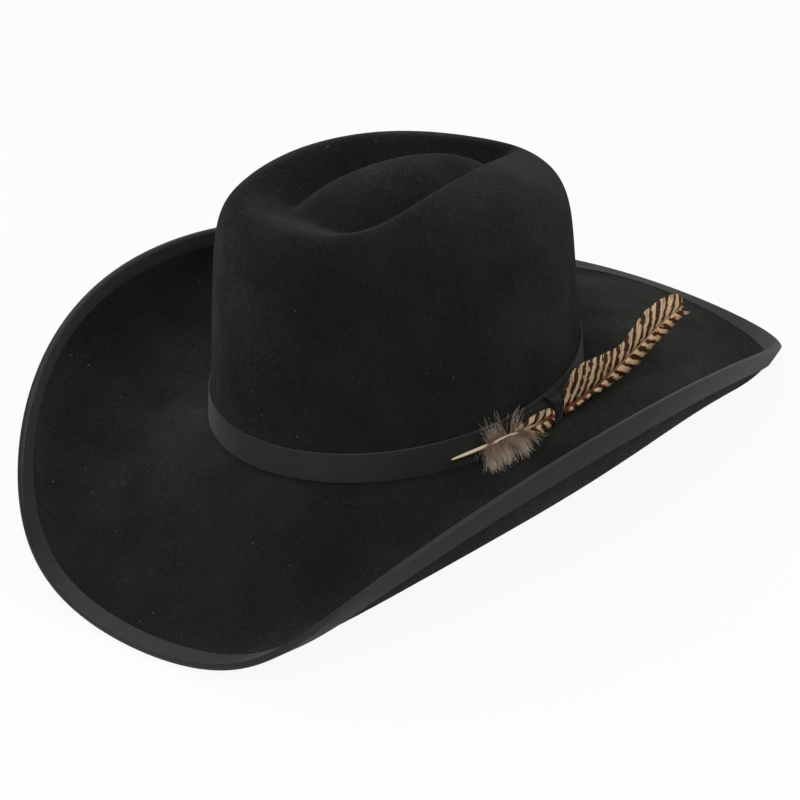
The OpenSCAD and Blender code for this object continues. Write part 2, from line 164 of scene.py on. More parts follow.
class HatFelt(bpy.types.PropertyGroup):
    black: colour("Felt", "The dyed fur felt", "10100f")
    bloom: colour("Bloom", "Where the nap stands up and catches light", "232421")
    sheen: colour("Sheen", "The light that the nap returns at grazing angles", "b4b5ae")
    lint: colour("Lint", "Short pale fibres caught in the nap", "a3a49e")
    nap: size("Nap", "Length over which the nap's fibres clump", 1.1)
    lint_cell: size("Lint spacing", "About how far one fibre of lint is from the next", 11)
    lint_half: size("Lint length", "Half the length of a fibre of lint", 0.9)


class HatRibbon(bpy.types.PropertyGroup):
    face: colour("Ribbon", "Grosgrain of the band and binding", "222421")
    # The bow's grosgrain is the band's, darkened as painted shade where the bow faces away from the light
    bow: colour("Bow", "Grosgrain of the bow, darkened as painted shade", "191918")
    rib: size("Rib", "From one rib of the grosgrain to the next", 0.6)


class HatFeather(bpy.types.PropertyGroup):
    pale: colour("Pale bars", "The tan ground of the vanes", "dfb083")
    cream: colour("Cream", "The palest barbs", "ecd0a8")
    dark: colour("Dark bars", "The brown bars", "4a2813")
    rust: colour("Rust", "Shaft beside the knot", "7c3d20")
    quill: colour("Quill", "The bare end of the shaft", "f2deba")
    down: colour("Down", "The loose barbs at the foot of the feather", "947864")
    # The down's tips are painted paler, as painted highlight
    down_tip_painted_highlight: colour("Down tips", "Down tips, paled as painted highlight", "e6d3be")
    bar: size("Bar", "From one dark bar to the next, along the shaft", 6.3)
    barb: size("Barb", "From one barb to the next", 0.42)


class HatInside(bpy.types.PropertyGroup):
    leather: colour("Sweatband", "The leather band inside", "6b4226")
    leather_dark: colour("Leather pores", "The darker parts of the leather", "4a2c18")
    thread: colour("Thread", "The stitches of the sweatband", "c9b48c")
    satin: colour("Satin", "The lining", "24242a")


class HatStage(bpy.types.PropertyGroup):
    paper: colour("Floor", "The paper that the hat stands on", "fbfbfa")
    bounce: colour("Bounce", "The paper as it lights the hat", "c6c6c4")
    sky: colour("Room", "The colour of the room round the lamps", "f4f6f8")
    whiteness: bpy.props.FloatProperty(
        name="Whiteness", description="Share of plain white in what the camera sees of the paper",
        subtype="FACTOR", default=0.93, min=0, max=1,
    )
    azimuth: angle("Azimuth", "Camera round the hat", 45.714)
    elevation: angle("Elevation", "Camera over the floor", 31.152)
    roll: angle("Roll", "Camera about its own line of sight", -7.183)
    distance: size("Distance", "Camera to the crown's foot", 2500, 500, 9000)
    lens: bpy.props.FloatProperty(
        name="Lens", description="Focal length in millimetres", unit="CAMERA", default=220.95, min=10
    )


# ---------------------------------------------------------------- shared helpers


def add(tree, kind, links=None, stops=(), **settings):
    """Adds a node with its settings, and a ramp's (place, shade) stops. A socket gets a value, or a link from
    another node's socket, or from its first one when only the node is given."""
    n = tree.nodes.new("ShaderNode" + kind)
    for key, value in settings.items():
        setattr(n, key, value)
    for key, value in (links or {}).items():
        if isinstance(value, bpy.types.Node):
            value = value.outputs[0]
        if isinstance(value, bpy.types.NodeSocket):
            tree.links.new(value, n.inputs[key])
        else:
            n.inputs[key].default_value = value
    if stops:
        elements = n.color_ramp.elements
        while len(elements) < len(stops):
            elements.new(0.5)
        for element, (place, shade) in zip(elements, stops):
            element.position = place
            element.color = shade if hasattr(shade, "__len__") else (shade, shade, shade, 1)
    return n


def material(name):
    """A material with no nodes in it, and its tree."""
    made = bpy.data.materials.new(name)
    made.use_nodes = True
    made.node_tree.nodes.clear()
    return made, made.node_tree


def per(millimetres):
    """The scale, per metre, of a pattern that changes every so many millimetres."""
    return 1 / (millimetres * MM)


def piece(name, bm, finish, slot, *nodes):
    """Makes an object of a bmesh, which rides on the hat and stands for the CAD nodes."""
    mesh = bpy.data.meshes.new(name)
    bm.to_mesh(mesh)
    bm.free()
    for p in mesh.polygons:
        p.use_smooth = True
    obj = bpy.data.objects.new(name, mesh)
    bpy.context.scene.collection.objects.link(obj)
    mesh.materials.append(finish)
    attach(obj, "root")
    if nodes:
        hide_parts(*nodes)
    return obj


def subdivide(obj, levels):
    """Rounds a piece, as much on the screen as in the render."""
    m = obj.modifiers.new("Smooth", "SUBSURF")
    m.levels = m.render_levels = levels


def thicken(obj, thickness, offset):
    """Gives the wall of a piece its thickness: -1 puts it all inside, and 0 half on each side."""
    m = obj.modifiers.new("Body", "SOLIDIFY")
    m.thickness = thickness
    m.offset = offset


def cad_copy(node, firm=0.0):
    """A bmesh of a CAD node. Its triangles follow each other in pairs, which are joined into the squares
    they came from, and its corners keep their edges by the given amount when they are subdivided."""
    bm = bmesh.new()
    bm.from_mesh(NODES[node].data)
    pair = bm.faces.layers.int.new("pair")
    for i, f in enumerate(bm.faces):
        f[pair] = i // 2
    bmesh.ops.remove_doubles(bm, verts=bm.verts, dist=1e-6)
    inner = [e for e in bm.edges if len(e.link_faces) == 2]
    halves = [e for e in inner if e.link_faces[0][pair] == e.link_faces[1][pair]]
    bmesh.ops.dissolve_edges(bm, edges=halves, use_verts=False)
    bm.faces.layers.int.remove(bm.faces.layers.int["pair"])
    if firm:
        crease = bm.edges.layers.float.new("crease_edge")
        for e in bm.edges:
            if len(e.link_faces) == 2 and e.calc_face_angle() > CORNER:
                e[crease] = firm
                e.smooth = False
    return bm


def way_round(co):
    """Angle round the hat in degrees from just past the back, so that no ring is cut by it."""
    return (math.degrees(math.atan2(co.x, -co.y)) - SEAM) % 360


def lay_along(bm, count):
    """Gives a hoop, whose rings have so many points, a UV map in metres: u along it, v across it from the
    outermost point of each ring."""
    ordered = sorted(bm.verts, key=lambda v: way_round(v.co))
    rings = [ordered[i:i + count] for i in range(0, len(ordered), count)]
    middles = [sum((v.co for v in ring), Vector()) / len(ring) for ring in rings]
    run, along, ring_of = 0.0, [], {}
    for i, ring in enumerate(rings):
        along.append(run)
        run += (middles[(i + 1) % len(rings)] - middles[i]).length
        for v in ring:
            ring_of[v] = i
    uv = bm.loops.layers.uv.verify()
    for f in bm.faces:
        near = {ring_of[v] for v in f.verts}
        wraps = max(near) - min(near) > len(rings) / 2
        for loop in f.loops:
            i = ring_of[loop.vert]
            far = max(rings[i], key=lambda v: v.co.xy.length)
            u = along[i] + (run if wraps and i < len(rings) / 2 else 0)
            loop[uv].uv = (u, (loop.vert.co - far.co).length)


# ---------------------------------------------------------------- finishes


def fur_felt(p):
    """Fur felt, dyed black and pounced smooth: matt, with a short nap that glows at grazing angles."""
    made, tree = material("fur_felt")
    place = add(tree, "TexCoord").outputs["Object"]
    clump = add(tree, "TexNoise", {"Vector": place, "Scale": 1 / p.nap, "Detail": 5.0, "Roughness": 0.7})
    patch = add(tree, "TexNoise", {"Vector": place, "Scale": per(PATCH), "Detail": 4.0, "Roughness": 0.6})
    blend = add(tree, "Math", {0: patch, 1: 0.55, 2: clump}, operation="MULTIPLY_ADD")
    tone = add(tree, "ValToRGB", {"Fac": blend}, [(0.62, p.black), (0.98, p.bloom)])
    # A fibre of lint is a thin spindle round the middle of each cell, turned its own way and kinked
    cell = add(tree, "TexVoronoi", {"Vector": place, "Scale": 1 / p.lint_cell})
    away = add(tree, "VectorMath", {0: place, 1: cell.outputs["Position"]}, operation="SUBTRACT")
    turn = add(tree, "VectorMath", {0: cell.outputs["Color"], 1: FULL_TURNS}, operation="MULTIPLY")
    laid = add(tree, "VectorRotate", {"Vector": away, "Rotation": turn}, rotation_type="EULER_XYZ")
    kink = add(tree, "TexNoise", {"Vector": place, "Scale": per(LINT_KINK)})
    thin = add(tree, "VectorMath", {0: laid, 1: (1, 5, 3)}, operation="MULTIPLY")
    far = add(tree, "VectorMath", {0: thin}, operation="LENGTH").outputs["Value"]
    bent = add(tree, "Math", {0: kink, 1: 1.3 * p.lint_half, 2: far}, operation="MULTIPLY_ADD")
    lint = add(tree, "MapRange", {
        "Value": bent, "From Min": 1.25 * p.lint_half, "From Max": 1.6 * p.lint_half,
        "To Min": 0.9, "To Max": 0.0,
    })
    flecked = add(tree, "Mix", {"Factor": lint, "A": tone, "B": p.lint}, data_type="RGBA")
    fibre = add(tree, "TexNoise", {"Vector": place, "Scale": per(FIBRE), "Detail": 2.0, "Roughness": 0.7})
    height = add(tree, "Math", {0: clump, 1: 1.2, 2: fibre}, operation="MULTIPLY_ADD")
    shader = add(tree, "BsdfPrincipled", {
        "Base Color": flecked.outputs["Result"],
        "Roughness": add(tree, "ValToRGB", {"Fac": patch}, [(0.3, 0.8), (0.7, 0.95)]),
        "Specular IOR Level": 0.15,
        "Sheen Weight": add(tree, "ValToRGB", {"Fac": blend}, [(0.62, 0.07), (0.98, 0.34)]),
        "Sheen Roughness": 0.4,
        "Sheen Tint": p.sheen,
        "Normal": add(tree, "Bump", {"Strength": 0.8, "Distance": 0.5 * MM, "Height": height}),
    })
    add(tree, "OutputMaterial", {"Surface": shader})
    return made


def grosgrain(p, face, name="grosgrain", axis=None):
    """Rayon grosgrain: firm cross ribs with a soft shine over them. The ribs lie across a hoop's UV map, or
    across an axis of space."""
    made, tree = material(name)
    coords = add(tree, "TexCoord")
    place = coords.outputs["Object"]
    parts = add(tree, "SeparateXYZ", {"Vector": coords.outputs["UV"] if axis is None else place})
    turn = add(tree, "Math", {0: parts.outputs[axis or 0], 1: 2 * math.pi / p.rib}, operation="MULTIPLY")
    rib = add(tree, "Math", {0: turn}, operation="SINE")
    lift = add(tree, "Math", {0: rib, 1: 0.5, 2: 0.5}, operation="MULTIPLY_ADD")
    weave = add(tree, "TexNoise", {"Vector": place, "Scale": per(WEAVE), "Detail": 2.0})
    wear = add(tree, "TexNoise", {"Vector": place, "Scale": per(WEAR), "Detail": 6.0, "Roughness": 0.75})
    # Painted shade: the ribs' crests are painted lighter and the grooves between them darker; the wear noise
    # varies the tone at random
    tone = add(tree, "Math", {0: lift, 1: 0.25, 2: wear}, operation="MULTIPLY_ADD")
    height = add(tree, "Math", {0: weave, 1: 0.35, 2: lift}, operation="MULTIPLY_ADD")
    tones = [(0.4, times(face, 0.7)), (0.85, times(face, 1.3))]
    shader = add(tree, "BsdfPrincipled", {
        "Base Color": add(tree, "ValToRGB", {"Fac": tone}, tones),
        "Roughness": 0.55,
        "Specular IOR Level": 0.4,
        "Sheen Weight": 0.15,
        "Normal": add(tree, "Bump", {"Strength": 0.3, "Distance": 0.2 * MM, "Height": height}),
    })
    add(tree, "OutputMaterial", {"Surface": shader})
    return made


def barred_vane(p):
    """Barbs of a game bird's tail feather: tan, crossed by uneven brown bars that fork and break."""
    made, tree = material("barred_barbs")
    station, reach, chance = (add(tree, "Attribute", attribute_name=n).outputs["Fac"] for n in FACTS)
    # Station and reach are in millimetres, and so are the patterns over them
    spot = add(tree, "CombineXYZ", {"X": station, "Y": reach})
    waver = add(tree, "TexNoise", {"Vector": spot, "Scale": 1 / BAR_WAVER, "Detail": 1.0})
    mottle = add(tree, "TexNoise", {
        "Vector": spot, "Scale": 1 / BAR_MOTTLE, "Detail": 2.0, "Distortion": 0.6,
    })
    phase = add(tree, "Math", {0: waver, 1: 4.5, 2: station}, operation="MULTIPLY_ADD")
    turns = add(tree, "Math", {0: phase, 1: 2 * math.pi / (p.bar / MM)}, operation="MULTIPLY")
    wave = add(tree, "Math", {0: turns}, operation="SINE")
    broken = add(tree, "Math", {0: mottle, 1: 3.4, 2: wave}, operation="MULTIPLY_ADD")
    uneven = add(tree, "Math", {0: chance, 1: 0.35, 2: broken}, operation="MULTIPLY_ADD")
    level = add(tree, "Math", {0: uneven, 1: 4.0}, operation="DIVIDE")
    warm = tuple(0.55 * a + 0.45 * b for a, b in zip(p.pale, p.dark))
    bars = [(0.36, p.cream), (0.46, p.pale), (0.51, warm), (0.55, p.dark)]
    shader = add(tree, "BsdfPrincipled", {
        "Base Color": add(tree, "ValToRGB", {"Fac": level}, bars),
        "Roughness": 0.6,
        "Specular IOR Level": 0.3,
    })
    add(tree, "OutputMaterial", {"Surface": shader})
    return made


def horn(p):
    """Feather shaft: horn, pale at the bare quill and rust brown past the knot."""
    made, tree = material("feather_horn")
    station = add(tree, "Attribute", attribute_name="station").outputs["Fac"]
    place = add(tree, "TexCoord").outputs["Object"]
    streak = add(tree, "TexNoise", {"Vector": place, "Scale": per(HORN_STREAK), "Detail": 2.0})
    along = add(tree, "MapRange", {"Value": station, "From Min": -60.0, "From Max": 100.0})
    shift = add(tree, "Math", {0: streak, 1: 0.12, 2: along}, operation="MULTIPLY_ADD")
    tones = [(0.05, p.quill), (0.24, p.quill), (0.36, p.rust), (0.62, p.rust), (0.95, p.pale)]
    shader = add(tree, "BsdfPrincipled", {
        "Base Color": add(tree, "ValToRGB", {"Fac": shift}, tones),
        "Roughness": 0.42,
        "Subsurface Weight": 0.1,
        "Subsurface Radius": (1.0 * MM, 0.6 * MM, 0.4 * MM),
        "Normal": add(tree, "Bump", {"Strength": 0.3, "Distance": 0.1 * MM, "Height": streak}),
    })
    add(tree, "OutputMaterial", {"Surface": shader})
    return made


def loose_down(p):
    """Down: thin grey brown barbs, darkened at their roots as painted shade and paled towards their tips as
    painted highlight.
    """
    made, tree = material("loose_down")
    reach = add(tree, "Attribute", attribute_name="reach").outputs["Fac"]
    chance = add(tree, "Attribute", attribute_name="chance").outputs["Fac"]
    both = add(tree, "Math", {0: chance, 1: 0.5, 2: reach}, operation="MULTIPLY_ADD")
    # Painted shade: the roots are darkened towards the shaft's rust, and the tips are paled as painted
    # highlight
    root = tuple(0.5 * a + 0.5 * b for a, b in zip(p.rust, p.down))
    shader = add(tree, "BsdfPrincipled", {
        "Base Color": add(tree, "ValToRGB", {"Fac": both}, [(0.1, root), (0.5, p.down), (1.0, p.down_tip_painted_highlight)]),
        "Roughness": 0.7,
        "Specular IOR Level": 0.2,
        "Sheen Weight": 0.3,
    })
    add(tree, "OutputMaterial", {"Surface": shader})
    return made


def leather(p):
    """Roan leather, vegetable tanned and glazed: fine pores, a low shine and one row of stitches."""
    made, tree = material("roan_leather")
    place = add(tree, "TexCoord").outputs["Object"]
    pores = add(tree, "TexVoronoi", {"Vector": place, "Scale": per(PORE)})
    stain = add(tree, "TexNoise", {"Vector": place, "Scale": per(STAIN), "Detail": 4.0})
    tone = add(tree, "ValToRGB", {"Fac": stain}, [(0.3, p.leather_dark), (0.65, p.leather)])
    # A wave round the hat cuts the row into stitches, which follow the band's lower edge
    parts = add(tree, "SeparateXYZ", {"Vector": place})
    angle = add(tree, "Math", {0: parts.outputs["Y"], 1: parts.outputs["X"]}, operation="ARCTAN2")
    count = add(tree, "Math", {0: angle, 1: STITCHES}, operation="MULTIPLY")
    dash = add(tree, "Math", {0: count}, operation="SINE")
    drawn = add(tree, "Math", {0: dash, 1: -0.4}, operation="GREATER_THAN")
    rise = add(tree, "Attribute", attribute_name="above_edge").outputs["Fac"]
    over = add(tree, "Math", {0: rise, 1: STITCH_ROW}, operation="SUBTRACT")
    off = add(tree, "Math", {0: over}, operation="ABSOLUTE")
    level = add(tree, "Math", {0: off, 1: THREAD_HALF}, operation="LESS_THAN")
    stitch = add(tree, "Math", {0: level, 1: drawn}, operation="MULTIPLY")
    sewn = add(tree, "Mix", {"Factor": stitch, "A": tone, "B": p.thread}, data_type="RGBA")
    shader = add(tree, "BsdfPrincipled", {
        "Base Color": sewn.outputs["Result"],
        "Roughness": add(tree, "ValToRGB", {"Fac": stain}, [(0.3, 0.5), (0.7, 0.38)]),
        "Normal": add(tree, "Bump", {"Strength": 0.35, "Distance": 0.15 * MM, "Height": pores}),
    })
    add(tree, "OutputMaterial", {"Surface": shader})
    return made


def satin(p, name="lining_satin", gathers=0.0):
    """Acetate satin: smooth floats that stretch the light along the cloth, and its gathers round the hat."""
    made, tree = material(name)
    place = add(tree, "TexCoord").outputs["Object"]
    fold = add(tree, "TexNoise", {"Vector": place, "Scale": per(SATIN_FOLD), "Detail": 2.0})
    thread = add(tree, "TexNoise", {"Vector": place, "Scale": per(SATIN_THREAD)})
    woven = add(tree, "Math", {0: thread, 1: 0.1, 2: fold}, operation="MULTIPLY_ADD")
    parts = add(tree, "SeparateXYZ", {"Vector": place})
    angle = add(tree, "Math", {0: parts.outputs["Y"], 1: parts.outputs["X"]}, operation="ARCTAN2")
    turn = add(tree, "Math", {0: angle, 1: gathers}, operation="MULTIPLY")
    ridge = add(tree, "Math", {0: turn}, operation="SINE")
    height = add(tree, "Math", {0: ridge, 1: 0.5, 2: woven}, operation="MULTIPLY_ADD")
    # Painted highlight: the cloth is painted lighter where its folds rise
    tones = [(0.35, p.satin), (0.7, times(p.satin, 1.6))]
    shader = add(tree, "BsdfPrincipled", {
        "Base Color": add(tree, "ValToRGB", {"Fac": fold}, tones),
        "Roughness": 0.3,
        "Anisotropic": 0.5,
        "Normal": add(tree, "Bump", {"Strength": 0.5, "Distance": 1.0 * MM, "Height": height}),
    })
    add(tree, "OutputMaterial", {"Surface": shader})
    return made


def white_paper(p):
    """Seamless background paper: white to the camera, with the hat's shadow on it, and clear from below."""
    made, tree = material("background_paper")
    place = add(tree, "TexCoord").outputs["Object"]
    grain = add(tree, "TexNoise", {"Vector": place, "Scale": per(PAPER_GRAIN)})
    matt = add(tree, "BsdfPrincipled", {
        "Base Color": add(tree, "ValToRGB", {"Fac": grain}, [(0.3, times(p.paper, 0.97)), (0.7, p.paper)]),
        "Roughness": 0.9,
        "Specular IOR Level": 0.0,
    })
    dim = add(tree, "BsdfDiffuse", {"Color": p.bounce})
    glow = add(tree, "Emission", {"Color": WHITE, "Strength": 1.0})
    seen = add(tree, "MixShader", {"Fac": p.whiteness, 1: matt, 2: glow})
    ray = add(tree, "LightPath").outputs["Is Camera Ray"]
    lit = add(tree, "MixShader", {"Fac": ray, 1: dim, 2: seen})
    clear = add(tree, "BsdfTransparent")
    back = add(tree, "NewGeometry").outputs["Backfacing"]
    whole = add(tree, "MixShader", {"Fac": back, 1: lit, 2: clear})
    add(tree, "OutputMaterial", {"Surface": whole})
    return made


# ---------------------------------------------------------------- the feather's line


class Shaft:
    """The feather's centre line, read from the rings of the CAD shaft. Places on it are in millimetres past
    the knot."""

    def __init__(self, sides=8):
        seen = {tuple(round(c, 6) for c in v.co) for v in NODES["feather_shaft"].data.vertices}
        points = sorted((Vector(c) for c in seen), key=lambda c: c.y)
        rings = [points[i:i + sides] for i in range(0, len(points), sides)]
        self.centres = [sum(r, Vector()) / len(r) for r in rings]
        self.radii = [sum((p - c).length for p in r) / len(r) for r, c in zip(rings, self.centres)]
        knot_y = sum(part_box("bow_knot"), Vector()).y / 2
        run = [0.0]
        for a, b in zip(self.centres, self.centres[1:]):
            run.append(run[-1] + (b - a).length)
        at_knot = next(
            r0 + (r1 - r0) * (knot_y - a.y) / (b.y - a.y)
            for a, b, r0, r1 in zip(self.centres, self.centres[1:], run, run[1:])
            if a.y <= knot_y <= b.y
        )
        self.run = [(r - at_knot) / MM for r in run]

    def point(self, s):
        """Centre at s millimetres past the knot, on a smooth curve through the rings."""
        i = max(0, min(len(self.run) - 2, sum(1 for r in self.run if r <= s) - 1))
        t = (s - self.run[i]) / (self.run[i + 1] - self.run[i])
        c = self.centres
        p0, p1, p2, p3 = c[max(i - 1, 0)], c[i], c[i + 1], c[min(i + 2, len(c) - 1)]
        if i == 0:
            p0 = 2 * p1 - p2
        if i + 2 >= len(c):
            p3 = 2 * p2 - p1
        return 0.5 * (2 * p1 + (p2 - p0) * t + (2 * p0 - 5 * p1 + 4 * p2 - p3) * t * t
                      + (3 * p1 - p0 - 3 * p2 + p3) * t ** 3)

    def radius(self, s):
        """The shaft's radius at s millimetres past the knot."""
        i = max(0, min(len(self.run) - 2, sum(1 for r in self.run if r <= s) - 1))
        t = max(0, min(1, (s - self.run[i]) / (self.run[i + 1] - self.run[i])))
        return self.radii[i] * (1 - t) + self.radii[i + 1] * t

    def frame(self, s):
        """Directions along the shaft, up the vane and out of its face."""
        way = (self.point(s + 0.5) - self.point(s - 0.5)).normalized()
        out = way.cross(UP).normalized()
        up = out.cross(way).normalized()
        return way, up, out


def between(x, places):
    """Value at x on straight lines through (x, value) pairs."""
    for (x0, y0), (x1, y1) in zip(places, places[1:]):
        if x <= x1:
            return y0 + (y1 - y0) * max(0, (x - x0)) / (x1 - x0)
    return places[-1][1]


def felt_outside():
    """A search tree over the outer side of the felt: the wall of the crown and the top of the brim."""
    mesh = NODES["felt_body"].data
    faces = []
    for f in mesh.polygons:
        away = Vector((f.center.x, f.center.y, 0)).normalized()
        if f.normal.z > 0.3 or (f.normal.z > -0.2 and f.normal.dot(away) > 0.5):
            faces.append(tuple(f.vertices))
    return BVHTree.FromPolygons([v.co for v in mesh.vertices], faces)


def kept_off(felt, point, room):
    """The point, moved out until it is so far from the felt."""
    for _ in range(2):  # once for the crown and once for the brim, where they meet
        spot, normal, _, _ = felt.find_nearest(point)
        point = point + normal * max(0, room - (point - spot).dot(normal))
    return point


def strips(count, rows):
    """Loose strips side by side, and for each vertex its strip, its side and its share of the length."""
    bm = bmesh.new()
    bmesh.ops.create_grid(bm, x_segments=count, y_segments=rows, size=0.5)
    inner = [e for e in bm.edges if abs(e.verts[0].co.x - e.verts[1].co.x) < 1e-5 and not e.is_boundary]
    bmesh.ops.split_edges(bm, edges=inner)
    layers = [bm.verts.layers.float.new(n) for n in FACTS]
    places = {}
    for f in bm.faces:
        middle = f.calc_center_median().x
        for v in f.verts:
            places[v] = (int((middle + 0.5) * count), 1 if v.co.x > middle else -1, v.co.y + 0.5)
    return bm, layers, places


def lay_strips(name, count, rows, line, thick, finish, slot, nodes):
    """A piece of strips. line(strip, t) gives centre, half width direction, station, reach and chance."""
    bm, layers, places = strips(count, rows)
    felt = felt_outside()
    for v, (k, side, t) in places.items():
        centre, half, *facts = line(k, t)
        v.co = kept_off(felt, centre, STRAND_ROOM) + side * half
        for layer, value in zip(layers, facts):
            v[layer] = value
    thicken(piece(name, bm, finish, slot, *nodes), thick, 0)


# ---------------------------------------------------------------- operators


class HAT_OT_felt(bpy.types.Operator):
    """Smooths the felt body and gives it its nap"""

    bl_idname = "hat.felt"
    bl_label = "Felt Body"

    def execute(self, context):
        finish = fur_felt(context.scene.hat_felt)
        felt = piece("felt", cad_copy("felt_body"), finish, "wool_felt", "felt_body")
        subdivide(felt, 2)
        return {"FINISHED"}


class HAT_OT_ribbons(bpy.types.Operator):
    """Binding, hatband and bow in grosgrain"""

    bl_idname = "hat.ribbons"
    bl_label = "Ribbons"

    def execute(self, context):
        p = context.scene.hat_ribbon
        woven = grosgrain(p, p.face)
        for node, count in (("brim_binding", 13), ("hatband", 4)):  # points in each ring of the hoop
            bm = cad_copy(node, FIRM)
            lay_along(bm, count)
            subdivide(piece(node + "_ribbon", bm, woven, "grosgrain", node), 2)
        # The bow and its knot take the darker grosgrain, which is painted shade
        bow_grosgrain_painted_shade = grosgrain(p, p.bow, "grosgrain_bow_painted_shade", 1)
        for node in ("bow_tail", "bow_front_loop", "bow_back_loop"):
            subdivide(piece(node + "_ribbon", cad_copy(node, FIRM), bow_grosgrain_painted_shade, "grosgrain", node), 2)
        tied = piece("bow_knot_ribbon", self.knot(), bow_grosgrain_painted_shade, "grosgrain", "bow_knot")
        thicken(tied, KNOT_CLOTH, -1)
        subdivide(tied, 1)
        return {"FINISHED"}

    def knot(self):
        """A ribbon drawn tight round the bow and the quill: gathered folds run over it from edge to edge."""
        bm = bmesh.new()
        bmesh.ops.create_grid(bm, x_segments=40, y_segments=30, size=0.5)
        low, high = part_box("bow_knot")
        middle, half = (low + high) / 2, (high - low) / 2
        # Along the band and out of it, at this place on the crown
        along = Vector((-0.15, 0.99, 0))
        out = Vector((0.99, 0.15, 0))
        start = middle - out * 0.8 * half.x
        for v in bm.verts:
            u, turn = 2 * v.co.x, math.pi * (v.co.y + 0.5)
            rise, reach = math.cos(turn), math.sin(turn)
            waist = 0.58 + 0.34 * rise * rise
            fold = math.sin(7.5 * u + 0.8 * rise) + 0.5 * math.sin(17 * u + 2 + rise)
            depth = 1.62 * half.x * reach ** 0.55 * (1 - 0.16 * u * u) + 0.28 * MM * fold * reach
            v.co = start + along * u * half.y * waist + out * depth + UP * rise * half.z * 1.02
        return bm


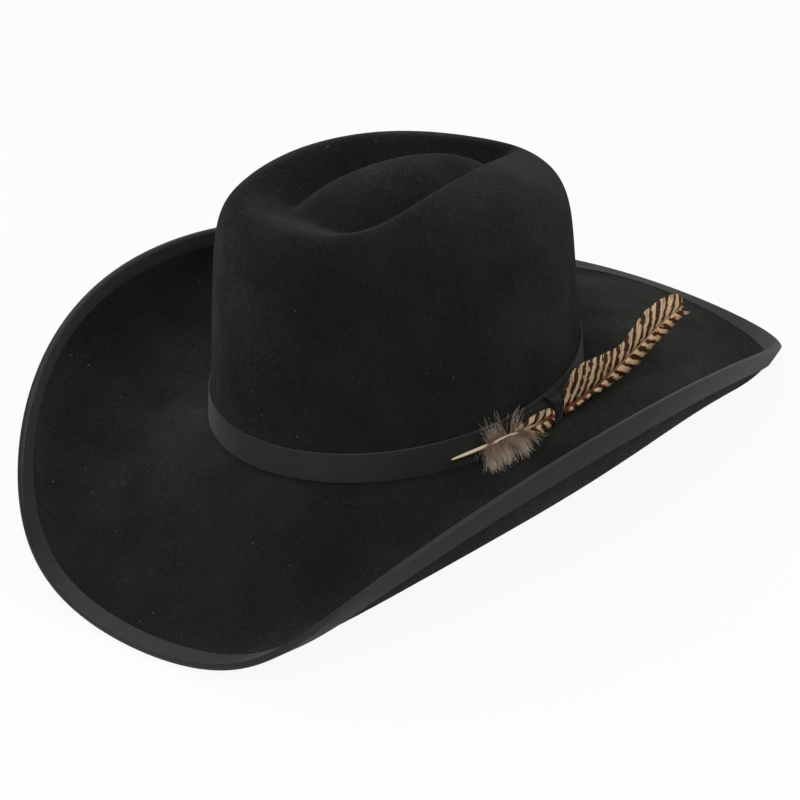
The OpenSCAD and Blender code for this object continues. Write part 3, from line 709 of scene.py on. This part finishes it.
class HAT_OT_feather(bpy.types.Operator):
    """Shaft, barbs and down of the feather"""

    bl_idname = "hat.feather"
    bl_label = "Feather"

    def execute(self, context):
        p = context.scene.hat_feather
        shaft = Shaft()
        self.shaft_piece(shaft, horn(p))
        barred = barred_vane(p)
        self.main_vanes(shaft, p, barred)
        self.front_vanes(shaft, p, barred)
        self.down(shaft, loose_down(p))
        return {"FINISHED"}

    def shaft_piece(self, shaft, finish):
        """The CAD shaft, drawn in to the share SLIM of its thickness, with its station for the horn."""
        bm = cad_copy("feather_shaft")
        station = bm.verts.layers.float.new("station")
        knot = shaft.point(0).y
        for v in bm.verts:
            s = v[station] = (v.co.y - knot) / MM
            near = [shaft.point(s + step) for step in (-0.6, -0.3, 0, 0.3, 0.6)]
            centre = min(near, key=lambda c: (c - v.co).length)
            v.co = centre.lerp(v.co, SLIM)
        subdivide(piece("feather_rachis", bm, finish, "quill", "feather_shaft"), 2)

    def vane(self, name, nodes, shaft, p, finish, side, start, end, width, slant, seed):
        """Barbs side by side on one side of the shaft, from start to end millimetres past the knot. Width, in
        millimetres, and slant, in shares of it, change along the vane."""
        rng = random.Random(seed)
        count = int((end - start) / (p.barb / MM))
        facts, drift = [], 0.0
        for _ in range(count):
            drift = 0.82 * drift + rng.gauss(0, 0.5)  # neighbours cling together in locks
            facts.append((rng.gauss(0, 1), drift, rng.random()))

        def line(k, t):
            own, lock, chance = facts[k]
            u = (k + 0.5) / count
            s = start + (end - start) * u
            way, up, out = shaft.frame(s)
            w = width(u) * (1 + 0.008 * own + 0.014 * lock) * MM
            lean = slant(u) + 0.012 * own + 0.022 * lock
            root = shaft.point(s) + side * up * shaft.radius(s) * 0.6
            curve = 0.35 * t + 0.65 * t ** 1.6
            centre = root + w * (side * up * t + way * lean * curve)
            centre += out * MM * (1.1 * math.sin(math.pi * t) - 0.8 * t + 0.1 * own * t + 0.25 * lock * t)
            half = 0.6 * p.barb * (1 - 0.25 * t ** 4) * (way * 0.98 + out * 0.18)
            return centre, half, s + (lean * curve - 0.78 * t) * w / MM, side * w / MM * t, chance

        lay_strips(name, count, 7, line, BARB_THICKNESS, finish, "barred_vane", nodes)

    def main_vanes(self, shaft, p, finish):
        """The two vanes past the knot. Widths and slants are set at shares of their length."""
        first, last = 4.4, shaft.run[-1] - 3.0
        upper = [
            (0, 9), (0.03, 14), (0.08, 17.4), (0.14, 17.2), (0.22, 15.2), (0.3, 12.8), (0.4, 10), (0.45, 9.2),
            (0.51, 10.2), (0.6, 12.6), (0.66, 13.8), (0.76, 13), (0.86, 11.4), (0.94, 9), (1, 5.6),
        ]
        lower = [
            (0, 3.6), (0.1, 3.6), (0.2, 3.4), (0.3, 5.8), (0.4, 8), (0.5, 9), (0.7, 8.2), (0.85, 7.2), (1, 6),
        ]
        upper_lean = [(0, 0.1), (0.1, 0.35), (0.45, 0.75), (0.75, 0.7), (0.9, 0.6), (1, 0.55)]
        lower_lean = [(0, 0.45), (0.3, 0.8), (0.75, 0.9), (0.92, 1.1), (1, 1.5)]
        self.vane("feather_upper_barbs", ["feather_upper_vane"], shaft, p, finish, 1, first, last,
                  lambda u: between(u, upper), lambda u: between(u, upper_lean), 3)
        self.vane("feather_lower_barbs", ["feather_lower_vane"], shaft, p, finish, -1, first, last,
                  lambda u: between(u, lower), lambda u: between(u, lower_lean), 4)

    def front_vanes(self, shaft, p, finish):
        """The short vanes before the knot, rounded off at both ends."""
        low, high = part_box("feather_front_vanes")
        knot = shaft.point(0).y
        start, end = (low.y - knot) / MM, (high.y - knot) / MM

        def rounded(u):
            return math.sqrt(max(0.08, 1 - (2 * u - 1) ** 2))

        self.vane("feather_front_upper_barbs", ["feather_front_vanes"], shaft, p, finish, 1, start, end,
                  lambda u: 5.2 * rounded(u), lambda u: 0.9, 5)
        self.vane("feather_front_lower_barbs", [], shaft, p, finish, -1, start, end,
                  lambda u: 7 * rounded(u), lambda u: 1.0, 6)

    def down(self, shaft, finish):
        """Loose strands in tufts: thick ones that droop over the brim, wisps that stand up, and short ones
        round the quill."""
        rng = random.Random(11)
        low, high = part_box("feather_down")
        knot = shaft.point(0).y
        start, end = (low.y - knot) / MM, (high.y - knot) / MM
        # Each family: tufts, strands, span of roots, angles from straight out, lean along the quill, length
        # and bend
        families = [
            (16, 900, (start + 1, end + 1), (-80, -34), (-0.35, 0.15), (9, 15.5), 1.6),
            (9, 240, (end - 5, end + 8), (-75, -15), (0.0, 0.7), (7, 13), 2.0),
            (12, 190, (start, end), (58, 140), (-0.8, 0.6), (9, 16), 3.6),
            (6, 120, (start - 2, start + 6), (-160, -70), (-0.9, -0.1), (6, 12), 3.0),
            (22, 800, (start + 1, end + 4), (-100, 130), (-0.4, 0.6), (4, 9), 1.6),
        ]
        strands = []
        for tufts, count, roots, angles, leans, lengths, bend in families:
            locks = [(rng.uniform(*roots), rng.uniform(*angles), rng.uniform(*leans), rng.uniform(*lengths),
                      rng.gauss(0, bend)) for _ in range(tufts)]
            for _ in range(count):
                s, angle, lean, length, curl = rng.choice(locks)
                strands.append((s + rng.gauss(0, 0.9), angle + rng.gauss(0, 10), lean + rng.gauss(0, 0.16),
                                length * rng.uniform(0.4, 1.05), curl + rng.gauss(0, 1.4), rng.random(),
                                rng.uniform(0, 2 * math.pi)))

        def line(k, t):
            s, angle, lean, length, curl, chance, swirl = strands[k]
            way, up, out = shaft.frame(s)
            turn = math.radians(angle)
            aim = (out * math.cos(turn) + up * math.sin(turn) + way * lean).normalized()
            side = aim.cross(way).normalized()
            centre = shaft.point(s) + aim * length * MM * t - UP * MM * 0.8 * t * t
            centre += side * MM * (curl * t * t + 0.3 * math.sin(8 * t + swirl) * t)
            centre += way * MM * 0.5 * math.sin(6 * t + swirl) * t
            half = (way * math.cos(swirl) + side * math.sin(swirl)) * (DOWN_HALF * (1 - 0.6 * t))
            return centre, half, s, t * length / 15, chance

        lay_strips("feather_down_strands", len(strands), 7, line, DOWN_THICKNESS, finish, "down",
                   ["feather_down"])


class HAT_OT_inside(bpy.types.Operator):
    """Sweatband, reed, small bow and lining"""

    bl_idname = "hat.inside"
    bl_label = "Inside"

    def execute(self, context):
        p = context.scene.hat_inside
        hide = leather(p)
        for node in ("sweatband", "sweatband_reed"):
            bm = cad_copy(node, LEATHER_FIRM)
            self.measure(bm)
            subdivide(piece(node + "_leather", bm, hide, "sweat_leather", node), 2)
        gathered = satin(p, "gathered_satin", LINING_GATHERS)
        side = piece("lining_side_satin", cad_copy("lining_side", FIRM), gathered, "satin", "lining_side")
        cloth = satin(p)
        top = piece("lining_tip_satin", cad_copy("lining_tip", FIRM), cloth, "satin", "lining_tip")
        tied = cad_copy("sweatband_bow", FIRM)
        bow = piece("sweatband_bow_satin", tied, cloth, "satin_ribbon", "sweatband_bow")
        for made in (side, top, bow):
            subdivide(made, 2)
        return {"FINISHED"}

    def measure(self, bm):
        """Keeps for each vertex its height over the lower edge there, which the row of stitches follows."""
        above = bm.verts.layers.float.new("above_edge")
        turns = {v: math.atan2(v.co.y, v.co.x) for v in bm.verts}
        for v in bm.verts:
            near = [w for w in bm.verts if abs(math.remainder(turns[w] - turns[v], 2 * math.pi)) < SAME_WAY]
            v[above] = v.co.z - min(w.co.z for w in near)


class HAT_OT_stage(bpy.types.Operator):
    """Floor, lamps, world and camera"""

    bl_idname = "hat.stage"
    bl_label = "Stage"

    def execute(self, context):
        p = context.scene.hat_stage
        bm = bmesh.new()
        bmesh.ops.create_grid(bm, x_segments=1, y_segments=1, size=PAPER_HALF)
        mesh = bpy.data.meshes.new("floor")
        bm.to_mesh(mesh)
        bm.free()
        floor = bpy.data.objects.new("floor", mesh)
        context.scene.collection.objects.link(floor)
        mesh.materials.append(white_paper(p))
        floor.location.z = CAD_BOX[0].z - PAPER_GAP
        for name, (place, width, power) in LAMPS.items():
            self.lamp(context, name, place, width, power)
        world = bpy.data.worlds.new("studio")
        context.scene.world = world
        world.use_nodes = True
        tree = world.node_tree
        tree.nodes.clear()
        room = add(tree, "Background", {"Color": p.sky, "Strength": ROOM_LIGHT})
        seen = add(tree, "Background", {"Color": WHITE, "Strength": 1.0})
        ray = add(tree, "LightPath").outputs["Is Camera Ray"]
        both = add(tree, "MixShader", {"Fac": ray, 1: room, 2: seen})
        add(tree, "OutputWorld", {"Surface": both})
        self.camera(context, p)
        context.scene.view_settings.view_transform = "Standard"
        return {"FINISHED"}

    def lamp(self, context, name, place, width, power):
        """A round soft lamp that looks at the hat."""
        data = bpy.data.lights.new(name, "AREA")
        data.shape = "DISK"
        data.size = width
        data.energy = power
        lamp = bpy.data.objects.new(name, data)
        context.scene.collection.objects.link(lamp)
        lamp.location = place
        lamp.rotation_mode = "QUATERNION"
        lamp.rotation_quaternion = (LAMPS_AIM - Vector(place)).to_track_quat("-Z", "Y")

    def camera(self, context, p):
        """The camera, which looks down on the hat from its left front."""
        a, e = p.azimuth, p.elevation
        back = Vector((math.sin(a) * math.cos(e), -math.cos(a) * math.cos(e), math.sin(e)))
        data = bpy.data.cameras.new("camera")
        data.lens = p.lens
        data.sensor_width = SENSOR_WIDTH
        data.shift_x, data.shift_y = CAMERA_SHIFT
        data.clip_end = 50
        cam = bpy.data.objects.new("camera", data)
        context.scene.collection.objects.link(cam)
        cam.location = CAMERA_AIM + back * p.distance
        cam.rotation_mode = "QUATERNION"
        cam.rotation_quaternion = (-back).to_track_quat("-Z", "Y") @ Quaternion((0, 0, 1), p.roll)
        context.scene.camera = cam


class HAT_PT_panel(bpy.types.Panel):
    """Lists the hat's pieces and the stage"""

    bl_idname = "HAT_PT_panel"
    bl_label = "Western Hat"
    bl_space_type = "VIEW_3D"
    bl_region_type = "UI"
    bl_category = "Hat"

    def draw(self, context):
        for operator in OPERATORS:
            self.layout.operator(operator.bl_idname)
        for name, group in GROUPS.items():
            box = self.layout.box()
            for prop in group.__annotations__:
                box.prop(getattr(context.scene, name), prop)


GROUPS = {
    "hat_felt": HatFelt,
    "hat_ribbon": HatRibbon,
    "hat_feather": HatFeather,
    "hat_inside": HatInside,
    "hat_stage": HatStage,
}
OPERATORS = (HAT_OT_felt, HAT_OT_ribbons, HAT_OT_feather, HAT_OT_inside, HAT_OT_stage)


def register():
    """Adds the properties, the operators and the panel."""
    for cls in (*GROUPS.values(), *OPERATORS, HAT_PT_panel):
        bpy.utils.register_class(cls)
    for name, group in GROUPS.items():
        setattr(bpy.types.Scene, name, bpy.props.PointerProperty(type=group))


def unregister():
    """Takes them away again."""
    for name in GROUPS:
        delattr(bpy.types.Scene, name)
    for cls in reversed((*GROUPS.values(), *OPERATORS, HAT_PT_panel)):
        bpy.utils.unregister_class(cls)


def main():
    """Builds the pieces and the stage."""
    register()
    bpy.ops.hat.felt()
    bpy.ops.hat.ribbons()
    bpy.ops.hat.feather()
    bpy.ops.hat.inside()
    bpy.ops.hat.stage()


if __name__ == "__main__":
    main()
